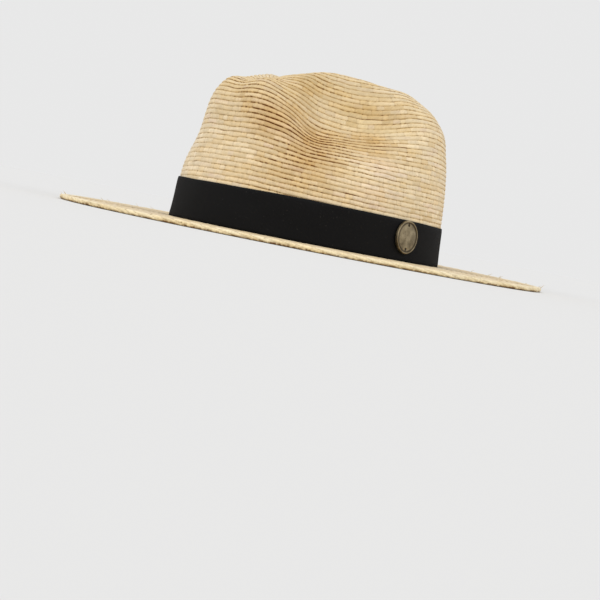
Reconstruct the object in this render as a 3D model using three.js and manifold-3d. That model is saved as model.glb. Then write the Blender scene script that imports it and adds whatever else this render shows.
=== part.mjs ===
// Straw fedora. The crown and the brim are sewn from rows of braided palm straw: the crown has a
// pinch on each side of the front and a hollow in the top, and the brim is flat and ends in a
// thicker row of braid. A plain ribbon band goes round the crown, with a round metal badge sewn on.
//
// Millimetres, +Z up. The front of the hat is towards -Y and the wearer's left is towards +X.
// The origin is on the table that the brim lies on, under the middle of the brim.
// Angles round the hat are in degrees from the front towards the wearer's left.

import * as THREE from 'three';
import Module from 'manifold-3d';
import { mergeVertices } from 'three/addons/utils/BufferGeometryUtils.js';

const wasm = await Module();
wasm.setup();

// ---- Driving dimensions -------------------------------------------------------------------

const STRAW = 2.2; // thickness of the braid in the crown and the brim
const GAP = 0.3; // between pieces that touch on the real hat

const BRIM_HALF_LENGTH = 173; // from the middle of the hat to the front or back edge
const BRIM_HALF_WIDTH = 157;
const EDGE_WIDTH = 5.5; // the last row of braid, round the brim
const EDGE_THICK = 2.8;
const EDGE_ROUNDING = 1.1;

const BASE_HALF_LENGTH = 101; // outside of the crown where it stands on the brim
const BASE_HALF_WIDTH = 83.8;
const BASE_UP = STRAW + GAP;

const CORE_BACK = 8; // middle of the straight core that the spiral of braid starts from
const CORE_HALF = 26;
const CORE_UP = 94; // height of its middle above the brim, the lowest point of the top's hollow
const CORE_END_RISE = 3;

const BAND_HEIGHT = 26.5;
const BAND_THICK = 1.1;

const BADGE_ANGLE = 89;
const BADGE_UP = 15.7; // its middle above the foot of the band, so that its rim nears the band's top
const BADGE_RADIUS = 10.5;
const BADGE_THICK = 1.7;
const BADGE_RIM = 1.1; // width of the raised rim
const BADGE_RIM_UP = 0.45; // height of the raised rim above the face
const BADGE_ROUNDING = 0.35;
const SEWING_HOLE_OUT = 7.9; // from the middle of the badge to the middle of a sewing hole
const SEWING_HOLE_RADIUS = 1.25;
const THREAD_BELOW_FACE = 0.3;

const AROUND = 72; // facets round each oval, an even number
const CROWN_ROWS = 23; // facets from the brim to the core
const BAND_ROWS = 3;
const BADGE_FACETS = 40;

// Sections of the crown from the front (0) to the back (180), the same on both sides but for
// RIGHT_DROP. Each pair is [how far inside the base oval, how high above it]: the top of the wall,
// the shoulder over it, the dent in the side, the rise behind the dent, the ridge round the top,
// and the side of its hollow.
const SECTION_COLUMNS = ['angle', 'wall', 'shoulder', 'dent', 'rise', 'ridge', 'hollow'];
const SECTIONS = [
  [0, [9, 60], [10.3, 85], [16.5, 92], [26, 94], [37, 95.5], [54, 96]],
  [16, [8.4, 58], [9.2, 86], [14.5, 93], [26.5, 97.5], [38, 101.5], [54, 98]],
  [26, [7.4, 56], [10.5, 73.5], [19.5, 84.5], [28.5, 95], [40, 104.3], [55, 100.5]],
  [40, [8, 51], [16.5, 61], [27, 69], [34, 90], [46, 108.5], [59, 103]],
  [55, [8.6, 54], [17.5, 62.5], [28, 70], [35, 92], [48, 110], [61, 104]],
  [70, [8.8, 58], [16, 65], [25.5, 74], [32, 94], [44, 109.5], [60, 104]],
  [85, [9, 63], [13.5, 71], [21, 81], [28, 98], [41, 109], [57, 104]],
  [105, [8.2, 73], [11, 84.5], [17.5, 95], [28, 104], [40, 110], [56, 104.5]],
  [130, [8.5, 75.5], [12.5, 89], [20.5, 98.7], [31, 105.5], [42, 109], [57, 103]],
  [155, [8.5, 76], [12, 91], [19, 100], [30, 105], [41, 107], [54, 102]],
  [180, [8.5, 76], [12, 91], [19, 99], [30, 103], [40, 104.5], [52, 101]],
];

const RIGHT_DROP = 4; // how much lower the ridge is on the wearer's right
const DROP_UP = [70, 105]; // the height over which the drop comes in
const DROP_ROUND = 40; // degrees over which it comes in from the front, and goes at the back
const DROP_FADE = 0.7; // share of the way to the core where it starts to fade

// ---- Materials ----------------------------------------------------------------------------

const material = (color, roughness, metalness = 0) =>
  new THREE.MeshStandardMaterial({ color, roughness, metalness });

const STRAW_FINISH = material(0xd6b98a, 0.8);
const EDGE_FINISH = material(0xdcc59c, 0.8);
const BAND_FINISH = material(0x201f1d, 0.85);
const BADGE_FINISH = material(0x6f6251, 0.45, 0.9);
const THREAD_FINISH = material(0x15120f, 0.9);

// ---- The crown's form ---------------------------------------------------------------------

// A smooth curve through a row of knots. The slope at an inner knot is the mean of the slopes on
// its two sides, the nearer one counting more. Each value is a list of numbers.
function smoothThrough(knots, values, startSlope, endSlope, at) {
  const last = knots.length - 1;
  const rise = (k) => values[k].map((v, i) => (values[k + 1][i] - v) / (knots[k + 1] - knots[k]));
  const slope = (k) => {
    if (k === 0) return startSlope ?? rise(0);
    if (k === last) return endSlope ?? rise(last - 1);
    const before = knots[k] - knots[k - 1];
    const after = knots[k + 1] - knots[k];
    const slopeAfter = rise(k);
    return rise(k - 1).map((v, i) => (v * after + slopeAfter[i] * before) / (before + after));
  };
  let k = 0;
  while (k < last - 1 && at >= knots[k + 1]) k += 1;
  const step = knots[k + 1] - knots[k];
  const u = (at - knots[k]) / step;
  const [slopeHere, slopeNext] = [slope(k), slope(k + 1)];
  return values[k].map((v, i) =>
    (1 + 2 * u) * (1 - u) ** 2 * v + u * (1 - u) ** 2 * step * slopeHere[i]
    + u * u * (3 - 2 * u) * values[k + 1][i] + u * u * (u - 1) * step * slopeNext[i]);
}

const SECTION_ANGLES = SECTIONS.map((row) => row[0]);
const SECTION_VALUES = SECTIONS.map((row) => row.slice(1).flat());
const NO_SLOPE = SECTION_VALUES[0].map(() => 0);
const POINTS_PER_SECTION = SECTION_COLUMNS.length - 1;

function oval(halfLength, halfWidth, angle) {
  const turn = THREE.MathUtils.degToRad(angle);
  return new THREE.Vector2(halfWidth * Math.sin(turn), -halfLength * Math.cos(turn));
}

// One section of the crown as [distance along it, how far in, how high], in small steps.
const sections = new Map();
function section(angle) {
  if (sections.has(angle)) return sections.get(angle);
  const base = oval(BASE_HALF_LENGTH, BASE_HALF_WIDTH, angle);
  const forward = Math.cos(THREE.MathUtils.degToRad(angle));
  const core = new THREE.Vector2(0, CORE_BACK - CORE_HALF * forward);
  const reach = base.distanceTo(core);
  const fromFront = Math.abs(((angle + 180) % 360 + 360) % 360 - 180);
  const row = smoothThrough(SECTION_ANGLES, SECTION_VALUES, NO_SLOPE, NO_SLOPE, fromFront);
  const points = [[0, 0]];
  for (let i = 0; i < POINTS_PER_SECTION; i += 1) points.push([row[2 * i], row[2 * i + 1]]);
  points.push([reach, CORE_UP + CORE_END_RISE * forward ** 2]);
  const knots = [0];
  for (let i = 1; i < points.length; i += 1) {
    const [dx, dy] = [points[i][0] - points[i - 1][0], points[i][1] - points[i - 1][1]];
    knots.push(knots[i - 1] + Math.hypot(dx, dy));
  }
  const steps = 160;
  const walk = [[0, 0, 0]];
  for (let i = 1; i <= steps; i += 1) {
    const at = (knots.at(-1) * i) / steps;
    const [inward, up] = smoothThrough(knots, points, null, [1, 0], at);
    const [along, lastIn, lastUp] = walk[i - 1];
    walk.push([along + Math.hypot(inward - lastIn, up - lastUp), inward, up]);
  }
  const result = { base, core, reach, walk, length: walk[steps][0] };
  sections.set(angle, result);
  return result;
}

// How much lower a point is for being on the wearer's right. A share of 1 is the core.
function rightDrop(angle, share, up) {
  const { smoothstep } = THREE.MathUtils;
  const right = ((-angle % 360) + 360) % 360;
  const round = smoothstep(right, 0, DROP_ROUND) * (1 - smoothstep(right, 180 - DROP_ROUND, 180));
  return RIGHT_DROP * round * smoothstep(up, ...DROP_UP) * (1 - smoothstep(share, DROP_FADE, 1));
}

// A point on the outside of the crown, at a distance along its section from the brim.
function crownPoint(angle, distance) {
  const { base, core, reach, walk, length } = section(angle);
  const along = Math.min(Math.max(distance, 0), length);
  let i = 1;
  while (i < walk.length - 1 && walk[i][0] < along) i += 1;
  const share = (along - walk[i - 1][0]) / (walk[i][0] - walk[i - 1][0]);
  const inward = walk[i - 1][1] + share * (walk[i][1] - walk[i - 1][1]);
  const up = walk[i - 1][2] + share * (walk[i][2] - walk[i - 1][2]);
  const plan = base.clone().lerp(core, inward / reach);
  const drop = rightDrop(angle, inward / reach, up);
  return new THREE.Vector3(plan.x, plan.y, BASE_UP + up - drop);
}

function crownNormal(angle, distance) {
  const { length } = section(angle);
  if (distance > length - 1) return new THREE.Vector3(0, 0, 1);
  const turn = 0.5;
  const share = distance / length;
  const before = crownPoint(angle - turn, share * section(angle - turn).length);
  const after = crownPoint(angle + turn, share * section(angle + turn).length);
  const below = crownPoint(angle, Math.max(distance - turn, 0));
  const above = crownPoint(angle, distance + turn);
  return after.sub(before).cross(above.sub(below)).normalize();
}

// ---- Solids from rings of points ----------------------------------------------------------

function solidFrom(points, faces) {
  const geometry = new THREE.BufferGeometry();
  const flat = points.flatMap((p) => [p.x, p.y, p.z]);
  geometry.setAttribute('position', new THREE.Float32BufferAttribute(flat, 3));
  geometry.setIndex(faces.flat());
  geometry.computeVertexNormals();
  return geometry;
}

// Two triangles for the facet between columns j and j + 1 of a lower and an upper ring.
function facet(lower, upper, j, next) {
  return [[lower[j], lower[next], upper[next]], [lower[j], upper[next], upper[j]]];
}

// A closed hoop: each ring has AROUND points, and the rings go once round the hoop's section,
// up its outside and down its inside.
function hoop(rings) {
  const points = rings.flat();
  const index = rings.map((ring, k) => ring.map((_, j) => k * AROUND + j));
  const faces = [];
  rings.forEach((_, k) => {
    const above = index[(k + 1) % rings.length];
    for (let j = 0; j < AROUND; j += 1) faces.push(...facet(index[k], above, j, (j + 1) % AROUND));
  });
  return solidFrom(points, faces);
}

const ANGLES = Array.from({ length: AROUND }, (_, j) => (360 * j) / AROUND);

// A level oval ring of points, a distance inside the edge of an oval.
function ovalRing(halfLength, halfWidth, inside, up) {
  return ANGLES.map((angle) => {
    const p = oval(halfLength - inside, halfWidth - inside, angle);
    return new THREE.Vector3(p.x, p.y, up);
  });
}

// ---- Pieces -------------------------------------------------------------------------------

function crown() {
  const half = AROUND / 2;
  const outside = [];
  const inside = [];
  for (let k = 0; k < CROWN_ROWS; k += 1) {
    const share = k / CROWN_ROWS;
    const ring = ANGLES.map((angle) => crownPoint(angle, share * section(angle).length));
    const inner = ring.map((p, j) => {
      const normal = crownNormal(ANGLES[j], share * section(ANGLES[j]).length);
      const q = p.clone().addScaledVector(normal, -STRAW);
      return k === 0 ? q.setZ(BASE_UP) : q;
    });
    outside.push(ring);
    inside.push(inner);
  }
  // The two sides meet along the core, so each point there serves the column on either side.
  const core = ANGLES.slice(0, half + 1).map((angle) => crownPoint(angle, section(angle).length));
  const innerCore = core.map((p) => p.clone().setZ(p.z - STRAW));
  const points = [...outside.flat(), ...inside.flat(), ...core, ...innerCore];
  const row = (first, k) => ANGLES.map((_, j) => first + k * AROUND + j);
  const coreRow = (first) => ANGLES.map((_, j) => first + (j <= half ? j : AROUND - j));
  const insideFirst = CROWN_ROWS * AROUND;
  const coreFirst = 2 * insideFirst;
  const faces = [];
  for (let j = 0; j < AROUND; j += 1) {
    const next = (j + 1) % AROUND;
    for (let k = 0; k < CROWN_ROWS; k += 1) {
      const top = k === CROWN_ROWS - 1;
      const over = top ? coreRow(coreFirst) : row(0, k + 1);
      const overInside = top ? coreRow(coreFirst + half + 1) : row(insideFirst, k + 1);
      faces.push(...facet(row(0, k), over, j, next));
      faces.push(...facet(overInside, row(insideFirst, k), j, next));
    }
    faces.push(...facet(row(insideFirst, 0), row(0, 0), j, next));
  }
  return solidFrom(points, faces);
}

function brim() {
  const outer = EDGE_WIDTH + GAP;
  return hoop([
    ovalRing(BRIM_HALF_LENGTH, BRIM_HALF_WIDTH, outer, 0),
    ovalRing(BRIM_HALF_LENGTH, BRIM_HALF_WIDTH, outer, STRAW),
    ovalRing(BASE_HALF_LENGTH, BASE_HALF_WIDTH, STRAW, STRAW),
    ovalRing(BASE_HALF_LENGTH, BASE_HALF_WIDTH, STRAW, 0),
  ]);
}

function edgeBraid() {
  const ring = (inside, up) => ovalRing(BRIM_HALF_LENGTH, BRIM_HALF_WIDTH, inside, up);
  return hoop([
    ring(EDGE_ROUNDING, 0),
    ring(0, EDGE_ROUNDING),
    ring(0, EDGE_THICK - EDGE_ROUNDING),
    ring(EDGE_ROUNDING, EDGE_THICK),
    ring(EDGE_WIDTH - EDGE_ROUNDING / 2, EDGE_THICK),
    ring(EDGE_WIDTH, EDGE_THICK - EDGE_ROUNDING / 2),
    ring(EDGE_WIDTH, 0),
  ]);
}

function band() {
  const ring = (outward, k) => ANGLES.map((angle) => {
    const at = (BAND_HEIGHT * k) / BAND_ROWS;
    return crownPoint(angle, at).addScaledVector(crownNormal(angle, at).setZ(0).normalize(), outward);
  });
  const rows = Array.from({ length: BAND_ROWS + 1 }, (_, k) => k);
  const outer = rows.map((k) => ring(GAP + BAND_THICK, k));
  const inner = rows.map((k) => ring(GAP, k)).reverse();
  return hoop([...outer, ...inner]);
}

const toSolid = (geometry) => {
  geometry.deleteAttribute('normal');
  geometry.deleteAttribute('uv');
  const merged = mergeVertices(geometry);
  const vertProperties = Float32Array.from(merged.attributes.position.array);
  const triVerts = Uint32Array.from(merged.index.array);
  return new wasm.Manifold(new wasm.Mesh({ numProp: 3, vertProperties, triVerts }));
};

const toGeometry = (solid) => {
  const mesh = solid.getMesh();
  const geometry = new THREE.BufferGeometry();
  geometry.setAttribute('position', new THREE.BufferAttribute(mesh.vertProperties, 3));
  geometry.setIndex(new THREE.BufferAttribute(mesh.triVerts, 1));
  geometry.computeVertexNormals();
  return geometry;
};

// The badge's disc, its back on the plane z = 0 and its face towards +Z.
function badge() {
  const face = BADGE_THICK;
  const rimTop = face + BADGE_RIM_UP;
  const profile = [
    [0, 0],
    [BADGE_RADIUS - BADGE_ROUNDING, 0],
    [BADGE_RADIUS, BADGE_ROUNDING],
    [BADGE_RADIUS, rimTop - BADGE_ROUNDING],
    [BADGE_RADIUS - BADGE_ROUNDING, rimTop],
    [BADGE_RADIUS - BADGE_RIM + BADGE_ROUNDING / 2, rimTop],
    [BADGE_RADIUS - BADGE_RIM, face],
    [0, face],
  ].map(([x, y]) => new THREE.Vector2(x, y));
  let disc = toSolid(new THREE.LatheGeometry(profile, BADGE_FACETS).rotateX(Math.PI / 2));
  for (const side of [-1, 1]) {
    const hole = new THREE.CylinderGeometry(SEWING_HOLE_RADIUS, SEWING_HOLE_RADIUS, 4 * BADGE_THICK, 16);
    hole.rotateX(Math.PI / 2).translate(0, side * SEWING_HOLE_OUT, 0);
    disc = disc.subtract(toSolid(hole));
  }
  return toGeometry(disc);
}

// The thread that fills a sewing hole, from the band to just under the badge's face.
function thread(side) {
  const radius = SEWING_HOLE_RADIUS - GAP;
  const height = BADGE_THICK - THREAD_BELOW_FACE;
  const geometry = new THREE.CylinderGeometry(radius, radius, height, 12);
  return geometry.rotateX(Math.PI / 2).translate(0, side * SEWING_HOLE_OUT, height / 2);
}

// A group whose z axis stands out of the wall at the badge's place and whose y axis goes up it.
function badgePlace() {
  const out = crownNormal(BADGE_ANGLE, BADGE_UP);
  const across = new THREE.Vector3(0, 0, 1).cross(out).normalize();
  const up = out.clone().cross(across);
  const place = new THREE.Group();
  place.position.copy(crownPoint(BADGE_ANGLE, BADGE_UP)).addScaledVector(out, 2 * GAP + BAND_THICK);
  place.quaternion.setFromRotationMatrix(new THREE.Matrix4().makeBasis(across, up, out));
  return place;
}

// ---- The hat ------------------------------------------------------------------------------

function piece(name, geometry, finish) {
  const mesh = new THREE.Mesh(geometry, finish);
  mesh.name = name;
  return mesh;
}

const hat = new THREE.Group();
hat.add(piece('crown', crown(), STRAW_FINISH));
hat.add(piece('brim', brim(), STRAW_FINISH));
hat.add(piece('edge_braid', edgeBraid(), EDGE_FINISH));
hat.add(piece('hat_band', band(), BAND_FINISH));

const place = badgePlace();
place.add(piece('badge', badge(), BADGE_FINISH));
place.add(piece('badge_thread_upper', thread(1), THREAD_FINISH));
place.add(piece('badge_thread_lower', thread(-1), THREAD_FINISH));
hat.add(place);

export default hat;
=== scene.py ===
"""Straw fedora, dressed round its CAD frame: rows of sewn palm braid as real relief on the crown
and the brim, a braided edge, a ribbon band and a round metal badge. Millimetres until a mesh is
made. Angles go round the hat in degrees from the front (-Y) towards the wearer's left (+X)."""
import math
import bpy
import numpy as np
from mathutils import Matrix, Vector


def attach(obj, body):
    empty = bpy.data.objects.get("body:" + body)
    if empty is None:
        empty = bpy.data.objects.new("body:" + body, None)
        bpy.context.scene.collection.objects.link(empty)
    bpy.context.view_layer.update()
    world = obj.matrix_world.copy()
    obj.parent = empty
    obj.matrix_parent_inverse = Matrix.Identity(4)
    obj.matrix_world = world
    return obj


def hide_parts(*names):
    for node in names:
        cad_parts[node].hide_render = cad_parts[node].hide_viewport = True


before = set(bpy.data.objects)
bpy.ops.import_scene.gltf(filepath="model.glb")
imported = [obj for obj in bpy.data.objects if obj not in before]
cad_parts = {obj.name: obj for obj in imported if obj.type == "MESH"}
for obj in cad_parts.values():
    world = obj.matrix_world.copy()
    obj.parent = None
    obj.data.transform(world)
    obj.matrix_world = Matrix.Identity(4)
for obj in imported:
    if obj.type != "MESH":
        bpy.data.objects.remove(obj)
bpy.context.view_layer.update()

MM = 0.001

# ---- Sizes, the same as in the CAD ----

STRAW = 2.2
GAP = 0.3
BRIM_HALF_LENGTH = 173
BRIM_HALF_WIDTH = 157
EDGE_WIDTH = 5.5
EDGE_THICK = 2.8
BASE_HALF_LENGTH = 101
BASE_HALF_WIDTH = 83.8
BASE_UP = STRAW + GAP
CORE_BACK = 8
CORE_HALF = 26
CORE_UP = 94
CORE_END_RISE = 3
BAND_HEIGHT = 26.5
BAND_THICK = 1.1
BADGE_ANGLE = 89
BADGE_UP = 15.7
BADGE_RADIUS = 10.5
SEWING_HOLE_OUT = 7.9

# Sections of the crown from the front (0) to the back (180), the same on both sides but for
# RIGHT_DROP: angle, then pairs of how far inside the base oval and how high above it
# for the top of the wall, the shoulder, the dent, the rise behind it, the ridge and the hollow.
SECTIONS = np.array([
    [0, 9, 60, 10.3, 85, 16.5, 92, 26, 94, 37, 95.5, 54, 96],
    [16, 8.4, 58, 9.2, 86, 14.5, 93, 26.5, 97.5, 38, 101.5, 54, 98],
    [26, 7.4, 56, 10.5, 73.5, 19.5, 84.5, 28.5, 95, 40, 104.3, 55, 100.5],
    [40, 8, 51, 16.5, 61, 27, 69, 34, 90, 46, 108.5, 59, 103],
    [55, 8.6, 54, 17.5, 62.5, 28, 70, 35, 92, 48, 110, 61, 104],
    [70, 8.8, 58, 16, 65, 25.5, 74, 32, 94, 44, 109.5, 60, 104],
    [85, 9, 63, 13.5, 71, 21, 81, 28, 98, 41, 109, 57, 104],
    [105, 8.2, 73, 11, 84.5, 17.5, 95, 28, 104, 40, 110, 56, 104.5],
    [130, 8.5, 75.5, 12.5, 89, 20.5, 98.7, 31, 105.5, 42, 109, 57, 103],
    [155, 8.5, 76, 12, 91, 19, 100, 30, 105, 41, 107, 54, 102],
    [180, 8.5, 76, 12, 91, 19, 99, 30, 103, 40, 104.5, 52, 101],
])

SECTION_STEPS = 160
RIGHT_DROP = 4  # how much lower the ridge is on the wearer's right
DROP_UP = (70, 105)  # the height over which the drop comes in
DROP_ROUND = 40  # degrees over which it comes in from the front, and goes at the back
DROP_FADE = 0.7  # share of the way to the core where it starts to fade

# ---- Braid ----

CROWN_ROWS = 54
SIDE_ROWS = 27  # rows of the crown in its side piece; the rest are in its top piece
BRIM_ROWS = 20
COLUMNS = 450
# Angle from the front, and distance between two rows of braid on the wall there.
ROW_PITCH = np.array([[0, 3.22], [22, 3.18], [40, 2.98], [60, 2.86], [120, 2.88], [180, 2.9]])
# The rows above a side dent hang lower over its middle: the angle from the front, and by how
# many rows they lie higher (or, below 0, lower) there.
ROW_LIFT = np.array([[0, 0], [50, 0], [67, -0.5], [82, -0.55], [95, 0.1], [110, -0.2], [130, 0],
                     [180, 0]])
LIFT_IN = (24, 31)  # the rows over which the lift comes in
LIFT_OUT = (36, 50)  # and those over which it goes
TOP_SPREAD = 2.2  # how late up a section its rows give way to fill it up to the core
BRIM_COLUMNS = 560

# One row of braid from its lower edge to the next row: how far along the row, how far it stands
# out of the wall. The lower edge laps over the row below it.
OUTSIDE_RELIEF = [(0, -0.12), (0.07, 0.16), (0.2, 0.38), (0.42, 0.44), (0.66, 0.3), (0.87, 0.06)]
INSIDE_RELIEF = [(0, -0.22), (0.5, 0.15)]
UNDER_BAND = 0.35  # share of the relief that is left under the ribbon
STRAND_LENGTHS = (3.6, 17)  # the shortest and the longest strand between two ends
STRANDS_VARY = 0.3  # how much the thickness of strands differs
NOTCH = 0.45  # share of the relief that is gone where two strands meet
NOTCH_HALF = 0.8
UNNOTCHED = 0.3  # share of those places without a notch
TONE_REACH = 10.0  # the distance that 1 in the tone's alpha stands for


def hermite(knots, values, at, start=None, end=None):
    """A smooth curve through a row of knots; an inner slope counts the nearer side more."""
    steps = np.diff(knots)
    rise = np.diff(values, axis=0) / steps[:, None]
    slopes = np.zeros_like(values)
    before, after = steps[:-1, None], steps[1:, None]
    slopes[1:-1] = (rise[:-1] * after + rise[1:] * before) / (before + after)
    slopes[0] = rise[0] if start is None else start
    slopes[-1] = rise[-1] if end is None else end
    k = np.clip(np.searchsorted(knots, at, side="right") - 1, 0, len(steps) - 1)
    u = ((at - knots[k]) / steps[k])[:, None]
    step = steps[k][:, None]
    return ((1 + 2 * u) * (1 - u) ** 2 * values[k] + u * (1 - u) ** 2 * step * slopes[k]
            + u * u * (3 - 2 * u) * values[k + 1] + u * u * (u - 1) * step * slopes[k + 1])


def angles(columns):
    """Half a column off the front, so that the two sides of the crown meet in whole columns."""
    return (np.arange(columns) + 0.5) * 2 * math.pi / columns


def oval(half_width, half_length, turns, up):
    """Points on an oval round the hat."""
    return np.stack([half_width * np.sin(turns), -half_length * np.cos(turns),
                     up + 0 * turns], -1)


def smoothstep(value, low, high):
    share = np.clip((value - low) / (high - low), 0, 1)
    return share * share * (3 - 2 * share)


def right_drop(turn, share, up):
    """How much lower points are for being on the wearer's right. A share of 1 is the core."""
    right = np.degrees(-turn) % 360
    around = smoothstep(right, 0, DROP_ROUND) * (1 - smoothstep(right, 180 - DROP_ROUND, 180))
    return RIGHT_DROP * around * smoothstep(up, *DROP_UP) * (1 - smoothstep(share, DROP_FADE, 1))


def by_angle(table, turns):
    """A table's columns at each turn, where its first column is the angle from the front."""
    off_front = np.degrees(np.abs((turns + math.pi) % (2 * math.pi) - math.pi))
    return hermite(table[:, 0], table[:, 1:], off_front, 0, 0)


def crown_sections(turns):
    """The crown's section at each turn: distances along it, its points as [inward, up], its foot,
    the core across from it, and how far apart they are."""
    for turn, row in zip(turns, by_angle(SECTIONS, turns)):
        base = oval(BASE_HALF_WIDTH, BASE_HALF_LENGTH, turn, 0)[:2]
        core = np.array([0, CORE_BACK - CORE_HALF * math.cos(turn)])
        reach = np.linalg.norm(base - core)
        top = CORE_UP + CORE_END_RISE * math.cos(turn) ** 2
        knots_at = np.stack([np.r_[0, row[0::2], reach], np.r_[0, row[1::2], top]], 1)
        knots = np.r_[0, np.cumsum(np.linalg.norm(np.diff(knots_at, axis=0), axis=1))]
        line = hermite(knots, knots_at, np.linspace(0, knots[-1], SECTION_STEPS), None, [1, 0])
        along = np.r_[0, np.cumsum(np.linalg.norm(np.diff(line, axis=0), axis=1))]
        yield along, line, base, core, reach


def crown_grid(turns, distances):
    """Points on the outside of the crown at distances up its sections: [ring, column]."""
    points = np.zeros((*distances.shape, 3))
    for j, (along, line, base, core, reach) in enumerate(crown_sections(turns)):
        inward = np.interp(distances[:, j], along, line[:, 0])
        up = np.interp(distances[:, j], along, line[:, 1])
        points[:, j, :2] = base + (inward / reach)[:, None] * (core - base)
        points[:, j, 2] = BASE_UP + up - right_drop(turns[j], inward / reach, up)
    return points


def row_places(turns, shares):
    """How far up the sections rows of braid lie: [ring, column]. A share of 1 is the core."""
    lengths = np.array([section[0][-1] for section in crown_sections(turns)])
    wall = CROWN_ROWS * by_angle(ROW_PITCH, turns)[:, 0]
    share = np.clip(shares, 0, 1)
    rows = share * CROWN_ROWS
    lift = by_angle(ROW_LIFT, turns)[:, 0]
    held = smoothstep(rows, *LIFT_IN) * (1 - smoothstep(rows, *LIFT_OUT))
    share = share + lift * held / CROWN_ROWS
    return wall * share + (lengths - wall) * share ** TOP_SPREAD


def normals_of(grid, up):
    """Normals of a grid of rings, outwards where up leads up a wall at each point."""
    across = np.roll(grid, -1, 1) - np.roll(grid, 1, 1)
    normal = np.cross(across, up)
    return normal / np.maximum(np.linalg.norm(normal, axis=2, keepdims=True), 1e-9)


def ring_lengths(grid):
    return np.linalg.norm(np.roll(grid, -1, 1) - grid, axis=2).sum(1)


def waver(rng, count, columns, waves, size):
    """A smooth closed wave for each of count rings."""
    turns = angles(columns)
    total = np.zeros((count, columns))
    for _ in range(6):
        wave = rng.integers(waves[0], waves[1], count)[:, None]
        total += np.sin(wave * turns + rng.uniform(0, 2 * math.pi, count)[:, None])
    return size * total / math.sqrt(6)


def bricks(rng, columns, column_width, shortest, longest):
    """One row of braid cut into strand ends, which fall on columns. Gives for each column the
    brick it is in, and how far its left and its right side are from the brick's nearer end."""
    cuts = [int(rng.integers(0, columns))]
    while True:
        length = math.exp(rng.uniform(math.log(shortest), math.log(longest)))
        cut = cuts[-1] + max(3, round(length / column_width))
        if cut > cuts[0] + columns - 3:
            break
        cuts.append(cut)
    cuts.append(cuts[0] + columns)
    brick, left, right = (np.zeros(columns) for _ in range(3))
    for number, (a, b) in enumerate(zip(cuts[:-1], cuts[1:])):
        j = np.arange(a, b)
        brick[j % columns] = number
        left[j % columns] = np.minimum(j - a, b - j) * column_width
        right[j % columns] = np.minimum(j + 1 - a, b - j - 1) * column_width
    return brick.astype(int), left, right


class Braid:
    """Rows of braid on a wall: the rings' places, their relief, and what the material reads."""

    def __init__(self, seed, rows, relief, columns, lengths, strands=STRAND_LENGTHS, wave=0.05):
        """lengths are those of the first and the last row."""
        rng = np.random.default_rng(seed)
        self.columns = columns
        self.rows = list(rows)
        steps = len(relief)
        count = len(self.rows)
        self.at = np.array([row + f for row in self.rows for f, _ in relief] + [self.rows[-1] + 1])
        line = waver(rng, count + 1, columns, (4, 40), wave)
        self.shift = np.zeros((len(self.at), columns))
        self.height = np.zeros((len(self.at), columns))
        tone = np.zeros((count * steps, columns, 2, 4))
        for i in range(count):
            width = float(np.interp(i / max(count - 1, 1), (0, 1), lengths)) / columns
            brick, left, right = bricks(rng, columns, width, *strands)
            marks = rng.uniform(0, 1, (brick.max() + 1, 3))
            thick = 1 + STRANDS_VARY * (marks[brick, 2] - 0.5)
            thick = (thick + np.roll(thick, 1)) / 2  # at the columns' left sides
            notched = np.roll(marks[brick, 1] > UNNOTCHED, 1)
            notch = 1 - NOTCH * np.exp(-(left / NOTCH_HALF) ** 2) * notched
            for m, (f, out) in enumerate(relief):
                ring = i * steps + m
                self.shift[ring] = line[i] * (1 - f) + line[i + 1] * f
                self.height[ring] = out * thick * notch if out > 0 else out
                tone[ring, :, :, :2] = marks[brick, :2][:, None]
                tone[ring, :, :, 3] = np.stack([left, right], 1) / TONE_REACH
        self.shift[-1] = line[-1]
        self.height[-1] = relief[0][1]
        self.tone = tone

    def places(self):
        return self.at[:, None] + self.shift

    def corners(self, lengths):
        """For each face between two rings: its corners' places on the braid, and their tone."""
        ring, j = np.divmod(np.arange((len(self.at) - 1) * self.columns), self.columns)
        widths = lengths[ring][:, None] / self.columns
        return (face_uv(j, widths, self.at[ring], self.at[ring + 1]),
                self.tone.reshape(-1, 2, 4)[:, [0, 1, 1, 0]])


# ---- Meshes ----


def put(name, data):
    thing = bpy.data.objects.new(name, data)
    bpy.context.collection.objects.link(thing)
    return thing


def make_object(name, points, quads, uv, colours):
    """A mesh object from quads. uv is [face, corner, 2], and colours maps an attribute's name to
    [face, corner, 4]."""
    mesh = bpy.data.meshes.new(name)
    mesh.vertices.add(len(points))
    mesh.vertices.foreach_set("co", (np.asarray(points) * MM).ravel())
    mesh.loops.add(4 * len(quads))
    mesh.loops.foreach_set("vertex_index", np.asarray(quads, dtype=np.int32).ravel())
    mesh.polygons.add(len(quads))
    mesh.polygons.foreach_set("loop_start", np.arange(0, 4 * len(quads), 4, dtype=np.int32))
    mesh.update(calc_edges=True)
    mesh.polygons.foreach_set("use_smooth", np.ones(len(quads), dtype=bool))
    layer = mesh.uv_layers.new(name="Braid")
    layer.data.foreach_set("uv", np.asarray(uv, dtype=np.float32).ravel())
    for key, values in colours.items():
        attribute = mesh.attributes.new(key, "FLOAT_COLOR", "CORNER")
        attribute.data.foreach_set("color", np.asarray(values, dtype=np.float32).ravel())
    mesh.validate()
    return put(name, mesh)


def bridge(lower, upper, columns):
    """Quads from one ring to another, by their first points."""
    j = np.arange(columns)
    following = (j + 1) % columns
    return np.stack([lower + j, lower + following, upper + following, upper + j], 1)


def ring_quads(first, rings, columns, closed=False):
    """Quads between rings that follow each other in the list of points, and from the last ring
    back to the first where the surface is closed."""
    starts = first + columns * np.arange(rings)
    quads = [bridge(low, low + columns, columns) for low in starts[:-1]]
    if closed:
        quads.append(bridge(starts[-1], starts[0], columns))
    return np.concatenate(quads)


def face_uv(j, width, low, high):
    """Where the corners of faces are on the braid: columns along it, and from low to high up."""
    return np.stack([np.stack([j, j + 1, j + 1, j], 1) * width,
                     np.stack([low, low, high, high], 1)], 2)


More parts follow.
